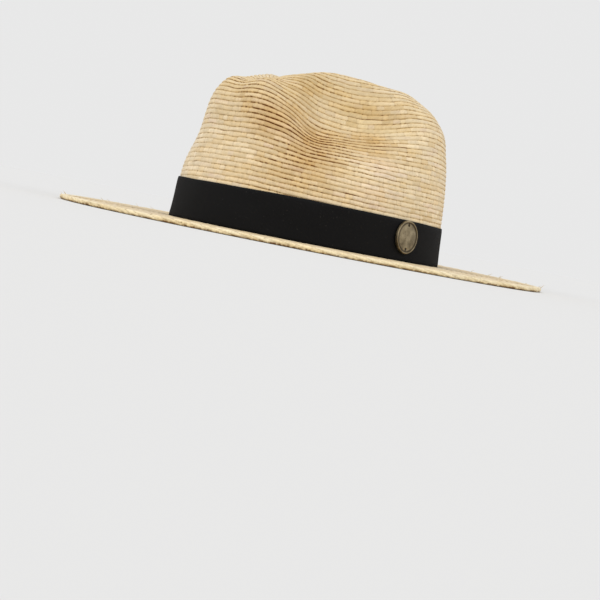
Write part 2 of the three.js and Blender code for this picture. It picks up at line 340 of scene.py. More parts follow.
def slit(first, columns, flip):
    """Quads that close a narrow ring from side to side."""
    j = np.arange(columns // 2 - 1)
    quads = np.stack([first + j, first + j + 1, first + columns - 2 - j,
                      first + columns - 1 - j], 1)
    return quads[:, ::-1] if flip else quads


def plain_corners(quads, at, colour):
    """The same place and tone for faces that hardly show."""
    uv = np.zeros((len(quads), 4, 2))
    uv[:] = at
    tone = np.zeros((len(quads), 4, 4))
    tone[:] = colour
    return uv, tone


class Shell:
    """A closed wall of braid: two sides, each a grid of rings, and the ends between them."""

    def __init__(self, columns):
        self.columns = columns
        self.points, self.quads, self.uvs, self.tones, self.stains_and_shades = [], [], [], [], []
        self.first, self.last = [], []  # the first points of each side's end rings

    def add_side(self, grid, braid, stroke, flip, stain_and_shade=None):
        """stroke is the tone's blue for each face, and the last argument gives points their
        colours, stains and painted light and shade among them.
        """
        flat = grid.reshape(-1, 3)
        start = sum(len(points) for points in self.points)
        faces = ring_quads(start, len(grid), self.columns)
        uv, tone = braid.corners(ring_lengths(grid))
        tone[:, :, 2] = stroke
        colours = stain_and_shade(flat) if stain_and_shade else np.ones((len(flat), 4))
        order = slice(None, None, -1 if flip else 1)
        self.points.append(flat)
        self.quads.append(faces[:, order])
        self.uvs.append(uv[:, order])
        self.tones.append(tone[:, order])
        self.stains_and_shades.append(colours[faces - start][:, order])
        self.first.append(start)
        self.last.append(start + len(flat) - self.columns)

    def close(self, name, ends, up):
        """Add the ends, which hardly show, and make the object."""
        ends = np.concatenate(ends)
        uv, tone = plain_corners(ends, (0, up), (0.5, 0.5, 0, 0.5))
        parts = [np.concatenate(part) for part in (
            self.points, [*self.quads, ends], [*self.uvs, uv], [*self.tones, tone],
            [*self.stains_and_shades, np.ones((len(ends), 4, 4))])]
        return make_object(name, *parts[:3], {"tone": parts[3], "stain_and_shade": parts[4]})


# ---- Where the straw is stained, lighter or darker, and where light and shade are painted on it ----

# Soft patches on the crown, partly the straw's own stains and tones and partly painted light and
# shade: lighter towards the two sides, darker on the crest and the upward faces of the dent, with
# fainter painted groove shade where a face turns up to the light. Columns: the angle, the height,
# half their widths, the colour they turn the straw towards, and how much stronger or fainter the
# lines between rows are there.
PATCH_COLUMNS = ("angle", "up", "half_angle", "half_up", "colour", "lines")
PATCHES = [
    (-30, 50, 14, 40, (1.02, 1.06, 1.16), 0.55),
    (-10, 45, 26, 34, (1.01, 1.01, 1.02), 0.65),
    (2, 88, 20, 9, (0.93, 0.88, 0.78), 1.15),
    (22, 74, 12, 12, (0.85, 0.72, 0.53), 1.5),
    (42, 66, 13, 9, (0.83, 0.7, 0.5), 1.5),
    (43, 53, 13, 9, (0.82, 0.72, 0.56), 1.35),
    (36, 40, 18, 12, (0.91, 0.84, 0.72), 1.15),
    (33, 101, 16, 8, (0.86, 0.79, 0.64), 1.0),
    (52, 92, 46, 15, (0.93, 0.9, 0.83), 1.0),
    (55, 108, 30, 6, (0.9, 0.89, 0.86), 1.0),
    (66, 67, 18, 5, (0.9, 0.83, 0.7), 1.15),
    (70, 96, 22, 11, (0.92, 0.87, 0.77), 0.65),
    (64, 91, 14, 3.5, (0.92, 0.86, 0.72), 1.2),
    (66, 82, 17, 4.5, (1.03, 1.03, 0.98), 0.3),
    (72, 74, 13, 5, (0.84, 0.73, 0.55), 0.9),
    (74, 58, 9, 6, (1.05, 1.03, 1.14), 0.75),
    (70, 41, 9, 7, (1.04, 1.02, 1.08), 0.8),
    (95, 50, 20, 40, (1.0, 1.0, 1.0), 0.75),
    (112, 66, 14, 40, (1.06, 1.05, 1.04), 0.8),
]

# Dark strokes along the lines between rows: the row, the angles from and to, and how dark.
STROKE_COLUMNS = ("row", "from", "to", "dark")
STROKE_FADE = 1.5  # degrees over which a stroke ends
STROKES = [
    (30, 12, 22, 0.5), (29, 8, 24, 0.5), (28, -8, 20, 0.8), (27, 14, 29, 0.7),
    (26, 14, 28, 0.6), (25, 15, 34, 0.8), (24, 19, 36, 1), (23, 19, 38, 0.9), (22, 16, 37, 1),
    (21, 18, 40, 1), (24, 37, 50, 1), (23, 40, 58, 0.9), (25, 36, 46, 0.8), (28, 38, 48, 0.5),
    (22, 46, 50, 1), (22, 50, 62, 0.7), (21, 41, 51, 0.8), (21, 53, 65, 0.8),
    (20, 30, 42, 0.5), (19, 42, 47, 0.6), (19, 69, 73, 0.8), (18, 38, 53, 0.6),
    (17, 62, 82, 0.4), (24, 62, 78, 0.8), (25, 67, 90, 0.8), (28, 76, 81, 0.8),
    (32, 60, 76, 0.5), (26, 60, 72, 0.4), (12, 58, 64, 1), (12, 50, 54, 0.7),
    (12, 40, 49, 0.5), (12, 33, 38, 0.8), (15, 26, 30, 0.8), (14, 22, 25, 0.6),
    (19, -5, 1, 0.5), (17, -30, -20, 0.6), (12, -22, -18, 0.6),
]


def stain_and_shade_of(points):
    """The patches' colour at each point: stains, and painted light and shade."""
    angle = np.degrees(np.arctan2(points[..., 0] / BASE_HALF_WIDTH,
                                  -points[..., 1] / BASE_HALF_LENGTH))
    colour = np.ones((*points.shape[:-1], 4))
    for patch in PATCHES:
        row = dict(zip(PATCH_COLUMNS, patch))
        away = (angle - row["angle"] + 180) % 360 - 180
        near = np.exp(-(away / row["half_angle"]) ** 2
                      - ((points[..., 2] - row["up"]) / row["half_up"]) ** 2)
        change = np.array([*row["colour"], row["lines"]])
        colour *= 1 + near[..., None] * (change - 1)
    return colour


def strokes_of(braid):
    """How dark the line under each row is, for each face between two rings and each corner."""
    steps = (len(braid.at) - 1) // len(braid.rows)
    degrees = np.degrees(angles(braid.columns))
    dark = np.zeros((len(braid.at) - 1, braid.columns))
    for stroke in STROKES:
        entry = dict(zip(STROKE_COLUMNS, stroke))
        if not braid.rows[0] <= entry["row"] <= braid.rows[-1]:
            continue
        middle = (entry["from"] + entry["to"]) / 2
        half = (entry["to"] - entry["from"]) / 2
        away = np.abs((degrees - middle + 180) % 360 - 180)
        near = entry["dark"] * np.clip((half - away) / STROKE_FADE + 0.5, 0, 1)
        ring = (entry["row"] - braid.rows[0]) * steps
        for face in (ring, ring - 1):
            if face >= 0:
                dark[face] = np.maximum(dark[face], near)
    return dark


# ---- The crown ----

CORE_GAP = (0.12, 0.2)  # rows between the core and the last ring, and the rings before it
RELIEF_SHARE = (0.35, 1.15)  # the least and the most that a patch leaves of the relief
FOOT_SUNK = 0.1  # how far the crown's foot goes into the brim's upper side
# How long the first and the last row are, outside and inside, in each piece of the crown.
SIDE_LENGTHS = ((580, 480), (560, 460))
TOP_LENGTHS = ((480, 120), (460, 110))


def crown_piece(name, seed, first, last, lengths):
    """Rows first to last of the crown as a closed wall."""
    turns = angles(COLUMNS)
    rows = range(first, last)
    closes = last == CROWN_ROWS
    outside = Braid(seed, rows, OUTSIDE_RELIEF, COLUMNS, lengths[0])
    inside = Braid(seed + 1, rows, INSIDE_RELIEF, COLUMNS, lengths[1], wave=0.06)
    shell = Shell(COLUMNS)
    for braid in (outside, inside):
        shares = braid.places() / CROWN_ROWS
        if first == 0:
            shares[0] = 0
        if closes:
            shares[-1] = 1 - CORE_GAP[0] / CROWN_ROWS
            shares[:-1] = np.minimum(shares[:-1], 1 - CORE_GAP[1] / CROWN_ROWS)
        places = row_places(turns, shares)
        grid = crown_grid(turns, places)
        below, above = (crown_grid(turns, row_places(turns, shares + half / CROWN_ROWS))
                        for half in (-0.5, 0.5))
        normal = normals_of(grid, above - below)
        if closes:
            normal[-3:] = (0, 0, 1)
        height = braid.height.copy()
        if first == 0:
            height[places < BAND_HEIGHT] *= UNDER_BAND
        if braid is outside:
            height *= np.clip(stain_and_shade_of(grid)[..., 3], *RELIEF_SHARE)
            grid = grid + normal * height[..., None]
            stroke = strokes_of(braid).reshape(-1)[:, None]
        else:
            grid = grid - normal * (STRAW + height)[..., None]
            stroke = 0
        if first == 0:
            grid[0, :, 2] = STRAW - FOOT_SUNK
        shell.add_side(grid, braid, stroke, braid is inside, stain_and_shade_of)
    ends = [bridge(*shell.first[::-1], COLUMNS)]
    if closes:
        ends += [slit(shell.last[0], COLUMNS, False), slit(shell.last[1], COLUMNS, True)]
    else:
        ends.append(bridge(*shell.last, COLUMNS))
    return shell.close(name, ends, first + 0.5)


# ---- The brim ----

# The brim lies on the table, so its upper side has the whole relief, and under it the rows only
# sink into the straw.
BRIM_TOP_RELIEF = [(0, -0.1), (0.1, 0.3), (0.35, 0.46), (0.65, 0.3), (0.88, 0.06)]
BRIM_UNDER_RELIEF = [(0, -0.6), (0.25, -0.03), (0.7, -0.06)]
BRIM_LENGTHS = (590, 1010)
UNDER_STRAND_LENGTHS = (4, 9)
EDGE_GAP = 0.1  # from the last row of the brim to the edge


def brim_piece():
    """The flat brim with its rows of braid, counted outwards from the crown."""
    turns = angles(BRIM_COLUMNS)
    inner = (BASE_HALF_WIDTH - STRAW, BASE_HALF_LENGTH - STRAW)
    outer = (BRIM_HALF_WIDTH - EDGE_WIDTH - EDGE_GAP, BRIM_HALF_LENGTH - EDGE_WIDTH - EDGE_GAP)
    rows = range(BRIM_ROWS)
    top = Braid(31, rows, BRIM_TOP_RELIEF, BRIM_COLUMNS, BRIM_LENGTHS)
    under = Braid(32, rows, BRIM_UNDER_RELIEF, BRIM_COLUMNS, BRIM_LENGTHS, UNDER_STRAND_LENGTHS)
    shell = Shell(BRIM_COLUMNS)
    for side, braid in enumerate((top, under)):
        share = braid.places() / BRIM_ROWS
        share[0], share[-1] = 0, 1
        up = STRAW + braid.height if side == 0 else -braid.height
        flat = oval(*(low + (high - low) * share for low, high in zip(inner, outer)), turns, up)
        shell.add_side(flat, braid, side, side == 0)
    return shell.close("brim_braid", [bridge(*shell.first, BRIM_COLUMNS),
                                      bridge(*shell.last[::-1], BRIM_COLUMNS)], 0.5)


# ---- The edge ----

EDGE_STRANDS = 112
EDGE_COLUMNS = EDGE_STRANDS * 14
EDGE_SECTION = 18
EDGE_LENGTH = 1037
STRAND_DEEP = 0.8  # how far the notch between two strands goes in
STRAND_LEAN = 0.6  # strands' lengths by which the top of the edge is behind its middle
STRAND_RISE = 0.34  # how much fuller the middle of a strand is at the top
LINE_BELOW = 0.1  # share of the way round the section from the rim to the line below it, which is painted shade under the rim
STRAND_SIZES = (0.55, 1.3)
STRAY_FIBRES = 46
FIBRE_LENGTHS = (3.4, 6.2)
FIBRE_THICK = 0.2
FIBRE_TAPER = 0.75  # share of its thickness that a fibre loses up to its tip
FIBRE_ROOT = (1.6, 0.62)  # how far inside the rim, and at what share of the edge's thickness


def strand_fullness(lean):
    """How full the strands are at places along the edge, counted in strands."""
    share = lean - np.floor(lean)
    return np.sin(math.pi * share ** 0.75) ** 0.6


def edge_piece():
    """The last row of braid, folded round the brim: plump strands that lean one way."""
    rng = np.random.default_rng(51)
    turns = angles(EDGE_COLUMNS)
    wide, thick = EDGE_WIDTH / 2, EDGE_THICK / 2
    around = np.arange(EDGE_SECTION) * 2 * math.pi / EDGE_SECTION
    phase = turns / (2 * math.pi) * EDGE_STRANDS + waver(rng, 1, EDGE_COLUMNS, (9, 45), 0.2)[0]
    size = rng.uniform(*STRAND_SIZES, EDGE_STRANDS)
    marks = rng.uniform(0, 1, (EDGE_STRANDS, 3))  # colour and brightness; the third is spare
    grid = np.zeros((EDGE_SECTION, EDGE_COLUMNS, 3))
    for m, way in enumerate(around):
        out, up = math.cos(way), math.sin(way)
        lean = phase + STRAND_LEAN * up
        full = strand_fullness(lean)
        strand = np.floor(lean).astype(int) % EDGE_STRANDS
        notch = (1 - full) * size[strand] * (0.4 + 0.6 * max(out, 0))
        square = (abs(out) ** 3 + abs(up) ** 3) ** (-1 / 3)
        far = wide * out * square - STRAND_DEEP * notch * out
        rise = max(up, 0) * STRAND_RISE * (full - 0.55) * size[strand]
        high = thick * (up * square + 1) + rise
        grid[m] = oval(BRIM_HALF_WIDTH - wide + far, BRIM_HALF_LENGTH - wide + far, turns, high)
    points = grid.reshape(-1, 3)
    quads = ring_quads(0, EDGE_SECTION, EDGE_COLUMNS, closed=True)
    m, j = np.divmod(np.arange(len(quads)), EDGE_COLUMNS)
    uv = face_uv(j, EDGE_LENGTH / EDGE_COLUMNS, m / EDGE_SECTION + LINE_BELOW,
                 (m + 1) / EDGE_SECTION + LINE_BELOW)
    lean = np.concatenate([phase, phase[:1] + EDGE_STRANDS])
    tone = np.zeros((len(quads), 4, 4))
    strand_length = EDGE_LENGTH / EDGE_STRANDS
    for corner, (dj, dm) in enumerate(((0, 0), (1, 0), (1, 1), (0, 1))):
        at = lean[j + dj] + STRAND_LEAN * np.sin(around[(m + dm) % EDGE_SECTION])
        tone[:, corner, 3] = np.abs(at - np.round(at)) * strand_length / TONE_REACH
    which = np.floor(lean[j] + STRAND_LEAN * np.sin(around[m])).astype(int) % EDGE_STRANDS
    tone[:, :, 0] = marks[which, 0][:, None]
    tone[:, :, 1] = 0.4 + 0.6 * marks[which, 1][:, None]
    fibres = stray_fibres(rng, len(points))
    fibres = (*fibres, *plain_corners(fibres[1], (0, 0.5), (0.5, 0.1, 0, 0.5)))
    points, quads, uv, tone = map(np.concatenate, zip((points, quads, uv, tone), fibres))
    return make_object("brim_edge_braid", points, quads, uv,
                       {"tone": tone, "stain_and_shade": np.ones((len(quads), 4, 4))})


def stray_fibres(rng, first):
    """Short thin fibres that stand out of the edge, as closed four-sided slivers."""
    points, quads = [], []
    steps = 5
    corners = np.array([[1, 1], [-1, 1], [-1, -1], [1, -1]])
    for _ in range(STRAY_FIBRES):
        turn = rng.uniform(0, 2 * math.pi)
        root = oval(BRIM_HALF_WIDTH - FIBRE_ROOT[0], BRIM_HALF_LENGTH - FIBRE_ROOT[0], turn,
                    EDGE_THICK * FIBRE_ROOT[1])
        outwards = oval(1, 1, turn, 0)
        onwards = np.array([math.cos(turn), math.sin(turn), 0]) * rng.choice([-1, 1])
        heading = (outwards * rng.uniform(0.2, 0.8) + onwards * rng.uniform(0.5, 1.2)
                   + np.array([0, 0, rng.uniform(0.25, 0.75)]))
        heading /= np.linalg.norm(heading)
        bend = np.array([0, 0, rng.uniform(-0.9, 0.5)])
        side = np.cross(heading, (0, 0, 1))
        side /= np.linalg.norm(side)
        over = np.cross(side, heading)
        long = rng.uniform(*FIBRE_LENGTHS)
        start = first + len(points)
        for k in range(steps):
            share = k / (steps - 1)
            middle = root + heading * long * share + bend * share ** 2
            thin = FIBRE_THICK * (1 - FIBRE_TAPER * share)
            points += [middle + thin * (x * side + y * over) for x, y in corners]
        quads += ring_quads(start, steps, 4).tolist()
        top = start + 4 * (steps - 1)
        quads += [(start + 3, start + 2, start + 1, start), (top, top + 1, top + 2, top + 3)]
    return np.array(points), np.array(quads)


# ---- The ribbon band ----

BAND_INSIDE = 0.62  # how far the ribbon's inner side is from the wall, clear of the braid
BAND_STEPS = 12
BAND_FOOT = 0.35  # how far its lower edge is above the brim
BAND_ROUNDING = 0.22  # how far its outer side falls back at both edges
BAND_ROUND_SHARE = 0.03  # and over which share of its height


def band_piece():
    """A plain ribbon, pulled tight round the foot of the crown, and its length."""
    rng = np.random.default_rng(61)
    turns = angles(COLUMNS)
    ups = BAND_HEIGHT * np.linspace(0, 1, BAND_STEPS + 1)
    wall = crown_grid(turns, np.repeat(ups[:, None], COLUMNS, 1))
    flat = normals_of(wall, np.gradient(wall, axis=0))
    flat[..., 2] = 0
    flat /= np.linalg.norm(flat, axis=2, keepdims=True)
    edge = waver(rng, 1, COLUMNS, (3, 12), 0.1)[0]
    proud = waver(rng, 1, COLUMNS, (4, 20), 0.05)[0]
    share = ups / BAND_HEIGHT
    outer_out = GAP + BAND_THICK + proud * (share ** 2)[:, None]
    rounding = BAND_ROUNDING * (np.exp(-share / BAND_ROUND_SHARE)
                                + np.exp(-(1 - share) / BAND_ROUND_SHARE))
    outer = wall + flat * (outer_out - rounding[:, None])[..., None]
    inner = wall + flat * BAND_INSIDE
    for side in (outer, inner):
        side[-1, :, 2] += edge
        side[0, :, 2] = STRAW + BAND_FOOT
    grid = np.concatenate([outer, inner[::-1]])
    quads = ring_quads(0, len(grid), COLUMNS, closed=True)
    high = np.r_[ups, ups[::-1], ups[0]]
    length = ring_lengths(outer).mean()
    ring, j = np.divmod(np.arange(len(quads)), COLUMNS)
    uv = face_uv(j, length / COLUMNS, high[ring], high[ring + 1])
    return make_object("ribbon_band", grid.reshape(-1, 3), quads, uv, {}), length


# ---- The badge ----

BADGE_FACETS = 96
# The badge's profile: how far inside its outer radius, and how high above its back.
BADGE_PROFILE = [
    (0.4, 0), (0.1, 0.12), (0, 0.4), (0, 1.65), (0.08, 1.95), (0.3, 2.12), (0.56, 2.15),
    (0.8, 2.06), (0.95, 1.86), (1.05, 1.72), (1.3, 1.72), (1.95, 1.8), (3.6, 1.94), (6.0, 2.06),
    (8.2, 2.12),
]
BADGE_FACE_UP = 2.14
HOLE_FACETS = 36
HOLE_RADIUS = 1.12
HOLE_CORNERS = 0.2  # 0 would be round
HOLE_WIDE = 0.92
HOLE_LONG = 1.05
HOLE_UP = (-1, 4)  # from below the badge to above it
THREAD_FACETS = 24
THREAD_SECTIONS = 10
THREAD_RADIUS = 0.62
THREAD_BULGE = 0.1
THREAD_TWIST = 4.5  # three times the angle that its three lobes turn through
THREAD_FOOT = -0.5
THREAD_RISE = 1.9


def badge_place():
    """Where the badge's disc stands: the middle of its back, facing out of the crown's wall."""
    near = np.array([-0.5, 0, 0.5])  # degrees, and mm
    grid = crown_grid(np.radians(BADGE_ANGLE + near), np.repeat(BADGE_UP + near[:, None], 3, 1))
    across = Vector(grid[1, 2] - grid[1, 0]).normalized()
    up = Vector(grid[2, 1] - grid[0, 1]).normalized()
    out = across.cross(up).normalized()
    place = Vector(grid[1, 1]) + out * (2 * GAP + BAND_THICK)
    return Matrix.Translation(place) @ Matrix((across, up, out)).transposed().to_4x4()


def lathe(profile, facets):
    """A closed disc from a profile that starts and ends on its axis, as vertices and faces."""
    points, faces = [Vector((0, 0, profile[0][1])), Vector((0, 0, profile[-1][1]))], []
    rings = profile[1:-1]
    for radius, up in rings:
        for j in range(facets):
            turn = 2 * math.pi * j / facets
            points.append(Vector((radius * math.cos(turn), radius * math.sin(turn), up)))
    for j in range(facets):
        following = (j + 1) % facets
        faces.append((0, 2 + following, 2 + j))
        for r in range(len(rings) - 1):
            low, high = 2 + r * facets, 2 + (r + 1) * facets
            faces.append((low + j, low + following, high + following, high + j))
        top = 2 + (len(rings) - 1) * facets
        faces.append((top + j, top + following, 1))
    return points, faces


def plain_object(name, points, faces, place):
    mesh = bpy.data.meshes.new(name)
    mesh.from_pydata([tuple((place @ p) * MM) for p in points], [], faces)
    mesh.update()
    for polygon in mesh.polygons:
        polygon.use_smooth = True
    return put(name, mesh)


def tube(rings, steps):
    """The faces of a closed tube: its two ends, and its sides."""
    last = (rings - 1) * steps
    ends = [tuple(range(steps))[::-1], tuple(range(last, last + steps))]
    return ends, ring_quads(0, rings, steps).tolist()


def hole_cutter(side):
    """A prism through a sewing hole: a triangle with round corners, its point away from the rim."""
    outline = []
    for k in range(HOLE_FACETS):
        turn = 2 * math.pi * k / HOLE_FACETS
        far = HOLE_RADIUS / (1 + HOLE_CORNERS * math.cos(3 * turn))
        outline.append((far * math.sin(turn) * HOLE_WIDE, -side * far * math.cos(turn) * HOLE_LONG))
    points = [Vector((x, side * SEWING_HOLE_OUT + y, z)) for z in HOLE_UP for x, y in outline]
    ends, sides = tube(2, HOLE_FACETS)
    return points, [face[::side] for face in ends + sides]


def badge_piece(place):
    profile = [(0, 0), *((BADGE_RADIUS - inside, up) for inside, up in BADGE_PROFILE),
               (0, BADGE_FACE_UP)]
    disc = plain_object("badge_disc", *lathe(profile, BADGE_FACETS), place)
    for side in (-1, 1):
        cutter = plain_object("cutter", *hole_cutter(side), place)
        cut = disc.modifiers.new("hole", "BOOLEAN")
        cut.operation, cut.solver, cut.object = "DIFFERENCE", "EXACT", cutter
        shown = disc.evaluated_get(bpy.context.evaluated_depsgraph_get())
        mesh = bpy.data.meshes.new_from_object(shown)
        disc.modifiers.clear()
        disc.data = mesh
        bpy.data.objects.remove(cutter)
    return disc


def thread_piece(name, side, place):
    """Two turns of dark thread seen in a sewing hole."""
    points = []
    for section in range(THREAD_SECTIONS + 1):
        up = THREAD_FOOT + THREAD_RISE * section / THREAD_SECTIONS
        for k in range(THREAD_FACETS):
            turn = 2 * math.pi * k / THREAD_FACETS
            twisted = 3 * turn + THREAD_TWIST * section / THREAD_SECTIONS
            far = THREAD_RADIUS + THREAD_BULGE * math.cos(twisted)
            points.append(Vector((far * math.cos(turn), side * SEWING_HOLE_OUT
                                  + far * math.sin(turn), up)))
    ends, sides = tube(THREAD_SECTIONS + 1, THREAD_FACETS)
    return plain_object(name, points, sides + ends, place)


# ---- Materials ----


class Shader:
    """A node material that is written one line per node."""

    def __init__(self, name):
        self.material = bpy.data.materials.new(name)
        self.material.use_nodes = True
        self.tree = self.material.node_tree
        self.tree.nodes.clear()
        self.out = self.tree.nodes.new("ShaderNodeOutputMaterial")

    def node(self, kind, inputs=None, **settings):
        made = self.tree.nodes.new(kind)
        for key, value in settings.items():
            setattr(made, key, value)
        for key, value in (inputs or {}).items():
            if isinstance(value, bpy.types.NodeSocket):
                self.tree.links.new(value, made.inputs[key])
            else:
                made.inputs[key].default_value = value
        return made

    def math(self, operation, a, b=0.0, c=0.0, clamp=False):
        return self.node("ShaderNodeMath", {0: a, 1: b, 2: c}, operation=operation,
                         use_clamp=clamp).outputs[0]

    def times(self, value, *factors, clamp=False):
        for factor in factors[:-1]:
            value = self.math("MULTIPLY", value, factor)
        return self.math("MULTIPLY", value, factors[-1], clamp=clamp)

    def spread(self, value, width, low, clamp=False):
        """low + width * value"""
        return self.math("MULTIPLY_ADD", value, width, low, clamp=clamp)

    def larger(self, a, b):
        return self.math("MAXIMUM", a, b)

    def ramp(self, value, low, high):
        """0 up to low, 1 from high, or the other way round where low is above high."""
        return self.node("ShaderNodeMapRange", {"Value": value, "From Min": low, "From Max": high},
                         interpolation_type="SMOOTHSTEP").outputs[0]

    def mix(self, share, a, b, blend="MIX"):
        return self.node("ShaderNodeMix", {0: share, 6: a, 7: b}, data_type="RGBA",
                         blend_type=blend).outputs[2]

    def colours(self, value, stops, smooth="LINEAR"):
        made = self.node("ShaderNodeValToRGB", {0: value})
        ramp = made.color_ramp
        ramp.interpolation = smooth
        while len(ramp.elements) < len(stops):
            ramp.elements.new(0.5)
        for element, (place, colour) in zip(ramp.elements, stops):
            element.position = place
            element.color = colour
        return made.outputs[0]

    def noise(self, vector, detail, rough=0.5, scale=1.0):
        return self.node("ShaderNodeTexNoise", {"Vector": vector, "Scale": scale, "Detail": detail,
                                                "Roughness": rough}).outputs[0]

    def vector(self, operation, *values):
        """Its first output is a vector, and its second is a number."""
        return self.node("ShaderNodeVectorMath", dict(enumerate(values)),
                         operation=operation).outputs

    def scaled(self, vector, factors):
        return self.vector("MULTIPLY", vector, factors)[0]

    def off_half(self, value):
        return self.math("ABSOLUTE", self.math("SUBTRACT", value, 0.5))

    def humps(self, along, wide):
        """A row of humps of a width."""
        return self.math("ABSOLUTE", self.math("SINE", self.times(along, math.pi / wide)))

    def braid_place(self):
        """A point's place on the braid: as a vector, along the rows, and up in rows."""
        uv = self.node("ShaderNodeUVMap", uv_map="Braid").outputs[0]
        return uv, *self.node("ShaderNodeSeparateXYZ", {0: uv}).outputs[:2]

    def along_row(self, along, scale, row, step):
        """A place for a noise that runs along a row and starts afresh in the next one."""
        return self.node("ShaderNodeCombineXYZ", {0: self.times(along, scale),
                                                  1: self.times(row, step)}).outputs[0]

    def bump(self, height, strength, distance):
        return self.node("ShaderNodeBump", {"Height": height, "Strength": strength,
                                            "Distance": distance}).outputs[0]

    def surface(self, **sockets):
        made = self.node("ShaderNodeBsdfPrincipled",
                         {key.replace("_", " "): value for key, value in sockets.items()})
        self.tree.links.new(made.outputs[0], self.out.inputs[0])
        return self.material


def srgb(red, green, blue):
    """A colour by its screen values from 0 to 255."""
    return tuple(((c / 255 + 0.055) / 1.055) ** 2.4 if c > 10 else c / 255 / 12.92
                 for c in (red, green, blue)) + (1.0,)


PALM = [
    (0.0, srgb(212, 189, 162)),
    (0.24, srgb(214, 190, 147)),
    (0.45, srgb(220, 200, 163)),
    (0.66, srgb(224, 206, 173)),
    (0.84, srgb(215, 193, 167)),
    (1.0, srgb(202, 176, 138)),
]
# A paler copy of the palm palette for the edge: partly paler straw, partly painted light where the
# edge catches the light from above.
PALE_AND_LIT_PALM = [
    (0.0, srgb(222, 203, 164)),
    (0.35, srgb(230, 214, 178)),
    (0.7, srgb(235, 222, 191)),
    (1.0, srgb(217, 196, 157)),
]
# Colours of the lines between rows, which are partly painted shade in the grooves, and of the
# dashes, spots and creases.
LINE = srgb(126, 80, 24)
DARK_LINE = srgb(98, 50, 15)
# The warm colour of the painted shade next to the lines between rows.
YELLOW_GROOVE_SHADE = (1.0, 0.93, 0.72, 1.0)
# The colour of the painted shade in the grooves between strands under the brim, and of the line
# there.
UNDERSIDE_LINE = srgb(132, 80, 40)
FLECK = srgb(128, 72, 40)
# Scales of the straw's noises, along the rows and up them.
FIBRE_SCALE = (0.5, 16.0, 1.0)
CLOUD_SCALE = (0.045, 0.5, 1.0)
BLOTCH_SCALE = (0.22, 1.3, 1.0)
REGION_SCALE = (0.03, 0.24, 1.0)
FLECK_SCALE = (0.55, 2.2, 1.0)
STRAND_SLANT = 5.2  # how far a strand of the brim's underside leans, in mm for a row
STRAND_WIDE = 3.1  # and how far apart such strands are


